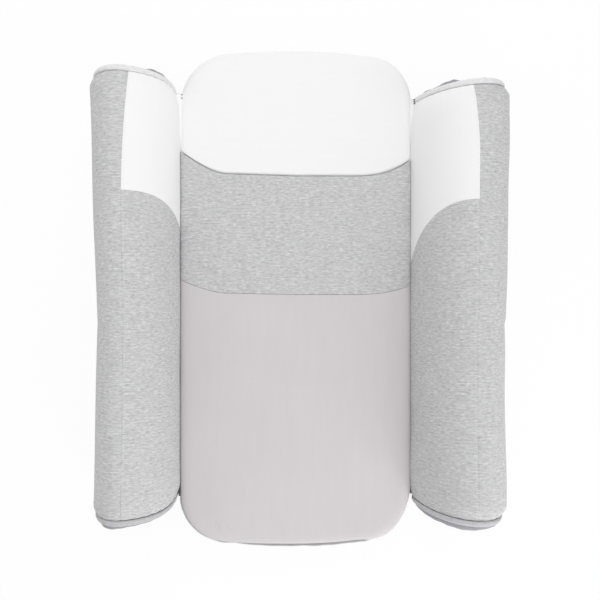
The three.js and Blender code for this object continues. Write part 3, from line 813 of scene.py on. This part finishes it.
def overlocked_edge_and_painted_shade(fabric):
    """The overlocked edge of the cover, peeking out from under the cloth round the foot end, whose darker
    thread also paints the shade along the foot and left rim.
    """
    foot = mat_rim(np.linspace(-1, 1, 1201), -HALF_LENGTH)
    left, right = (
        mat_rim(sign, np.linspace(-HALF_LENGTH, -HALF_LENGTH + reach, 160))
        for sign, reach in zip((-1, 1), EDGE_ROUND_CORNERS)
    )
    line = np.concatenate([left[:0:-1], foot, right[1:]])
    lengths = distances_along(line)
    at = np.arange(2, lengths[-1] - 2, 1.7)
    places, ahead = (
        stack(*(np.interp(place, lengths, values) for values in line.T)) for place in (at, at + 0.5)
    )
    ahead = unit(ahead - places)
    outwards = np.cross(ahead, UPWARDS)
    seen = np.interp(places[:, 0] - MAT_X, EDGE_SEEN_X, EDGE_SEEN) + 0.5 * unevenness(places, 14, 81)
    places = places + outwards * (seen - EDGE_INSET)[:, None] + (0, 0, EDGE_UP)
    slant = outwards + 0.35 * ahead + (0, 0, 0.12)
    add_stitches("mat_overlocked_edge_and_painted_shade", places, slant, UPWARDS, fabric, **EDGE_THREADS)


def tacks(side, roll, fabric):
    """The tacks that hold a roll to the mat at both ends of the joining tape, and a close run of dark thread
    at the foot end that also paints the shade there.
    """
    foot = roll["foot_tacks_and_painted_shade"]
    places = [(x, y, TACKS_UP["head"]) for x, y in roll["head_tacks"]]
    # The run at the foot end paints the shade where the tape ends there, as well as standing for its tacks.
    places += [(foot["x"], y, TACKS_UP["foot"]) for y in np.arange(foot["start"], foot["end"], TACK_STEP)]
    places = np.array(places) + (MAT_X, 0, 0)
    across = stack(1, 0.25 * (-1.0) ** np.arange(len(places)), 0)
    add_stitches(f"{side}_tacks", places, across, UPWARDS, fabric, length=3.6, thick=2.1)


def top_seam_stitches(side, roll, fabric):
    """The short stitches that cross the seam along the top of a roll."""
    start = arc_at(roll, TOP_SEAM) - 2.2
    at = np.arange(end_seam(roll, 0) + 4, end_seam(roll, 1) - 3, 3.1)

    def surface(y, across):
        return roll_surface(roll, start + across, y, soft_height(roll, start, y) - 0.1)

    places, _, upwards = frame_of(surface, at)
    crossing, upwards = surface(at, 1) - places, upwards * roll["side"]
    add_stitches(f"{side}_roll_seam_stitches", places, crossing, upwards, fabric, length=3.2, thick=0.5)


# ---- Materials ----


def colour(levels):
    """A colour from its sRGB levels, from 0 to 255 and not near black."""
    return (*(((np.array(levels) / 255 + 0.055) / 1.055) ** 2.4).tolist(), 1)


def set_inputs(tree, node, inputs):
    """Gives each of these inputs of a node its value, or links another node's output to it."""
    for key, value in inputs.items():
        if isinstance(value, bpy.types.NodeSocket):
            tree.links.new(value, node.inputs[key])
        else:
            node.inputs[key].default_value = value


def add_node(tree, kind, inputs, output=0, **settings):
    """An output of a new shader node with these inputs and settings."""
    node = tree.nodes.new(f"ShaderNode{kind}")
    for name, value in settings.items():
        setattr(node, name, value)
    set_inputs(tree, node, inputs)
    return node.outputs[output]


class Cloth:
    """A cloth material: noise, stripes and steps over the coordinates of the flat cloth."""

    def __init__(self, name, roughness, sheen, slot=None):
        self.slot = slot or name
        self.material = bpy.data.materials.new(name)
        self.material.use_nodes = True
        self.tree = self.material.node_tree
        self.flat = add_node(self.tree, "Attribute", {}, output="Vector", attribute_name="cloth")
        self.shade({"Roughness": roughness, "Specular IOR Level": 0.2})
        self.shade({"Sheen Weight": sheen, "Sheen Roughness": 0.6})

    def shade(self, inputs):
        """Sets or links inputs of the material's shader."""
        set_inputs(self.tree, self.tree.nodes["Principled BSDF"], inputs)

    def math(self, operation, a, b=0.0):
        """An operation on two values."""
        return add_node(self.tree, "Math", {0: a, 1: b}, operation=operation)

    def sum(self, terms):
        """The sum of (value, weight) terms."""
        total = 0.0
        for value, weight in terms:
            total = self.math("ADD", total, self.math("MULTIPLY", value, weight))
        return total

    def noise(self, length, width, detail=2.0, roughness=0.55, shift=0.0):
        """Noise from 0 to 1 with features of that length across the nest and width along it, in mm."""
        scale = (1 / (length * MM), 1 / (width * MM), 1)
        place = add_node(self.tree, "Mapping", {"Vector": self.flat, "Scale": scale, "Location": [shift] * 3})
        inputs = {"Vector": place, "Scale": 1, "Detail": detail, "Roughness": roughness}
        return add_node(self.tree, "TexNoise", inputs)

    def ripple(self, axis, pitch):
        """A sine from -1 to 1 along an axis of the flat cloth, with the given pitch in mm."""
        place = add_node(self.tree, "SeparateXYZ", {0: self.flat}, output=axis)
        return self.math("SINE", self.math("MULTIPLY", place, tau / (pitch * MM)))

    def paint(self, factor, *stops):
        """Colours the cloth by the factor, between stops of (position, sRGB levels)."""
        ramp = self.tree.nodes.new("ShaderNodeValToRGB")
        elements = ramp.color_ramp.elements
        while len(elements) < len(stops):
            elements.new(0.5)
        for element, (position, levels) in zip(elements, stops):
            element.position, element.color = position, colour(levels)
        set_inputs(self.tree, ramp, {"Fac": factor})
        self.shade({"Base Color": ramp.outputs["Color"]})

    def bump(self, depth, *terms):
        """Bump from a sum of (value, weight) terms, in which 1 stands for the given depth in mm."""
        inputs = {"Strength": 1, "Distance": depth * MM, "Height": self.sum(terms)}
        self.shade({"Normal": add_node(self.tree, "Bump", inputs)})


def heather_jersey():
    """Grey melange knit: short light and dark flecks across the nest, over fine wales."""
    cloth = Cloth("heather_jersey", roughness=0.95, sheen=0.08)
    threads = cloth.noise(3, 1.0, detail=1, shift=7.3)
    mixed = cloth.sum([
        (cloth.noise(6.5, 2.0, detail=3, roughness=0.6), 0.5),
        (threads, 0.24),
        (cloth.noise(22, 1.5, detail=1, shift=2.1), 0.2),
        (cloth.noise(22, 12, detail=1, shift=5.2), 0.06),
    ])
    cloth.paint(
        mixed,
        (0.30, (155, 155, 156)), (0.44, (188, 188, 189)), (0.56, (206, 206, 207)), (0.70, (231, 231, 232)),
    )
    cloth.bump(0.25, (cloth.ripple(0, 1.1), 0.15), (threads, 1))
    return cloth


def plain_jersey():
    """Smooth rosy-grey knit with faint lengthwise creases."""
    cloth = Cloth("plain_jersey", roughness=0.95, sheen=0.05)
    creases = cloth.noise(9, 60, detail=2, shift=3.3)
    blotches = cloth.noise(60, 60, detail=1, shift=1.7)
    specks = cloth.noise(1.2, 1.2, detail=1)
    mixed = cloth.sum([(creases, 0.45), (specks, 0.25), (blotches, 0.3)])
    cloth.paint(mixed, (0.3, (206, 202, 203)), (0.7, (210, 206, 207)))
    wales = cloth.math("MULTIPLY", cloth.ripple(0, 1.0), cloth.ripple(1, 0.8))
    cloth.bump(0.12, (wales, 0.3), (creases, 0.3))
    return cloth


def spacer_mesh():
    """White knitted mesh with rows of small openings."""
    cloth = Cloth("spacer_mesh", roughness=0.9, sheen=0.05)
    lattice = cloth.math("MULTIPLY", cloth.ripple(0, 2.6), cloth.ripple(1, 3.0))
    openings = cloth.math("POWER", cloth.math("MAXIMUM", lattice, 0.0), 1.5)
    cloth.paint(openings, (0.0, (242, 242, 242)), (1.0, (235, 235, 235)))
    cloth.bump(0.12, (1.0, 1), (openings, -1))
    return cloth


def ribbed_tape(name, levels, slot=None, pitch=1.2):
    """Narrow woven tape with fine ribs across it."""
    cloth = Cloth(name, roughness=0.9, sheen=0.05, slot=slot)
    uneven = cloth.noise(6, 3, detail=1)
    dark, light = ([level + step for level in levels] for step in (-6, 5))
    cloth.paint(uneven, (0.3, dark), (0.7, light))
    cloth.bump(0.15, (cloth.ripple(0, pitch), 0.25), (uneven, 1))
    return cloth


def end_jersey():
    """Mid-grey knit at the ends of the rolls."""
    cloth = Cloth("end_jersey", roughness=0.95, sheen=0.08)
    flecks = cloth.noise(5, 1.5, detail=2)
    cloth.paint(flecks, (0.3, (144, 143, 150)), (0.7, (163, 162, 169)))
    cloth.bump(0.2, (cloth.ripple(0, 1.1), 0.2), (flecks, 1))
    return cloth


def thread(name, level, slot):
    """Thread of one grey level, slightly mottled."""
    cloth = Cloth(name, roughness=0.8, sheen=0.1, slot=slot)
    cloth.paint(cloth.noise(0.8, 0.8), (0.3, [level - 8] * 3), (0.7, [level + 4] * 3))
    return cloth


# ---- Putting the nest together ----

HEATHER, JERSEY, MESH = heather_jersey(), plain_jersey(), spacer_mesh()
# One tape in two copies: the foot copy is greyer as painted shade and the head copy paler as painted light,
# since light falls from the head side.
BINDING_TAPES_PAINTED_SHADE_AND_LIGHT = (
    ribbed_tape("foot_binding_tape_painted_shade", (190, 190, 193), slot="binding_tape"),
    ribbed_tape("head_binding_tape_painted_light", (227, 227, 228), slot="binding_tape"),
)
JOINING_TAPE = ribbed_tape("joining_tape", (214, 214, 214), pitch=1.6)
END_JERSEY = end_jersey()
PALE_THREAD = thread("pale_thread", 226, slot="binding_tape")
# Dark thread for the tacks; at the foot ends it also paints the shade of the joining tape's end.
TACK_THREAD_AND_PAINTED_SHADE = thread("tack_thread_and_painted_shade", 105, slot="joining_tape")
# The overlocked thread, set darker than the plain jersey as painted shade along the foot and left rim.
EDGE_THREAD_AND_PAINTED_SHADE = thread("edge_thread_and_painted_shade", 178, slot="plain_jersey")

mat_casing(JERSEY)
mat_panel("foot", -HALF_LENGTH, FOOT_SEAM, JERSEY)
mat_panel("middle", FOOT_SEAM, HEAD_SEAM, HEATHER)
mat_panel("head", HEAD_SEAM, HALF_LENGTH, MESH)
overlocked_edge_and_painted_shade(EDGE_THREAD_AND_PAINTED_SHADE)
for side, roll in ROLLS.items():
    measure_section(roll)
    roll_casing(side, roll, HEATHER)
    roll_cloth(side, roll, "foot", HEATHER)
    roll_cloth(side, roll, "head", MESH)
    joining_tape(side, JOINING_TAPE)
    head_web(side, roll, MESH)
    tacks(side, roll, TACK_THREAD_AND_PAINTED_SHADE)
    top_seam_stitches(side, roll, PALE_THREAD)
    for end in (0, 1):
        roll_end_cloth(side, roll, end, END_JERSEY)
        # The foot and head bindings get the copies of the tape with painted shade and painted light.
        roll_binding(side, roll, end, BINDING_TAPES_PAINTED_SHADE_AND_LIGHT[end])
        binding_stitches(side, roll, end, PALE_THREAD)

# ---- Floor, light and camera ----

AMBIENT = 0.665
LAMPS = (
    dict(name="key", place=(0.7, -1.21, 0.5), power=8.4),
    dict(name="head_lamp", place=(0, 1.25, 1.0), power=5.2),
    dict(name="left_lamp", place=(-1.25, 0, 1.0), power=1.2),
    dict(name="top_lamp", place=(0, 0.05, 2.0), power=4.8),
)
LAMP_SIZE = 0.8
FLOOR_HALF = 4
FLOOR_COLOUR = (0.93, 0.93, 0.93, 1)
FLOOR_GLOW = 0.91  # how much of the floor is plain white light for the camera
CAMERA = dict(place=(MAT_X * MM + 0.0062, -0.0013, 0.960), lens=41.14)


def seen_directly(tree):
    """1 for rays from the camera, or off glossy things and through clear ones, and 0 for the rest."""
    rays = tree.nodes.new("ShaderNodeLightPath").outputs
    seen = rays["Is Camera Ray"]
    for kind in ("Is Glossy Ray", "Is Transmission Ray"):
        seen = add_node(tree, "Math", {0: seen, 1: rays[kind]}, operation="MAXIMUM")
    return seen


def make_floor():
    """A plain pale floor, which looks paler than it is but keeps the shadows."""
    mesh = bpy.data.meshes.new("floor")
    corners = [(x * FLOOR_HALF, y * FLOOR_HALF, 0) for x, y in ((-1, -1), (1, -1), (1, 1), (-1, 1))]
    mesh.from_pydata(corners, [], [(0, 1, 2, 3)])
    material = bpy.data.materials.new("floor")
    material.use_nodes = True
    tree = material.node_tree
    shader = tree.nodes["Principled BSDF"]
    set_inputs(tree, shader, {"Base Color": FLOOR_COLOUR, "Roughness": 1, "Specular IOR Level": 0})
    share = add_node(tree, "Math", {0: seen_directly(tree), 1: FLOOR_GLOW}, operation="MULTIPLY")
    white = add_node(tree, "Emission", {"Strength": 1})
    mixed = add_node(tree, "MixShader", {0: share, 1: shader.outputs["BSDF"], 2: white})
    set_inputs(tree, tree.nodes["Material Output"], {"Surface": mixed})
    mesh.materials.append(material)
    add_object("floor", mesh)


def make_world():
    """White light from all round, dimmer on the nest than the white that the camera sees."""
    world = bpy.data.worlds.new("studio")
    bpy.context.scene.world = world
    world.use_nodes = True
    tree = world.node_tree
    strength = add_node(tree, "MapRange", {"Value": seen_directly(tree), "To Min": AMBIENT, "To Max": 1})
    set_inputs(tree, tree.nodes["Background"], {"Color": (1, 1, 1, 1), "Strength": strength})


def make_lamp(name, place, power):
    """A round lamp, turned to the middle of the nest."""
    light = bpy.data.lights.new(name, "AREA")
    light.shape = "DISK"
    light.size = LAMP_SIZE
    light.energy = power
    lamp = add_object(name, light)
    lamp.location = place
    lamp.rotation_mode = "QUATERNION"
    lamp.rotation_quaternion = lamp.location.to_track_quat("Z", "Y")


def make_camera():
    """The photo's camera, which looks straight down."""
    data = bpy.data.cameras.new("camera")
    data.sensor_width = 36
    data.lens = CAMERA["lens"]
    camera = add_object("camera", data)
    camera.location = CAMERA["place"]
    bpy.context.scene.camera = camera


make_floor()
make_world()
for lamp in LAMPS:
    make_lamp(**lamp)
make_camera()
bpy.context.scene.view_settings.view_transform = "Standard"
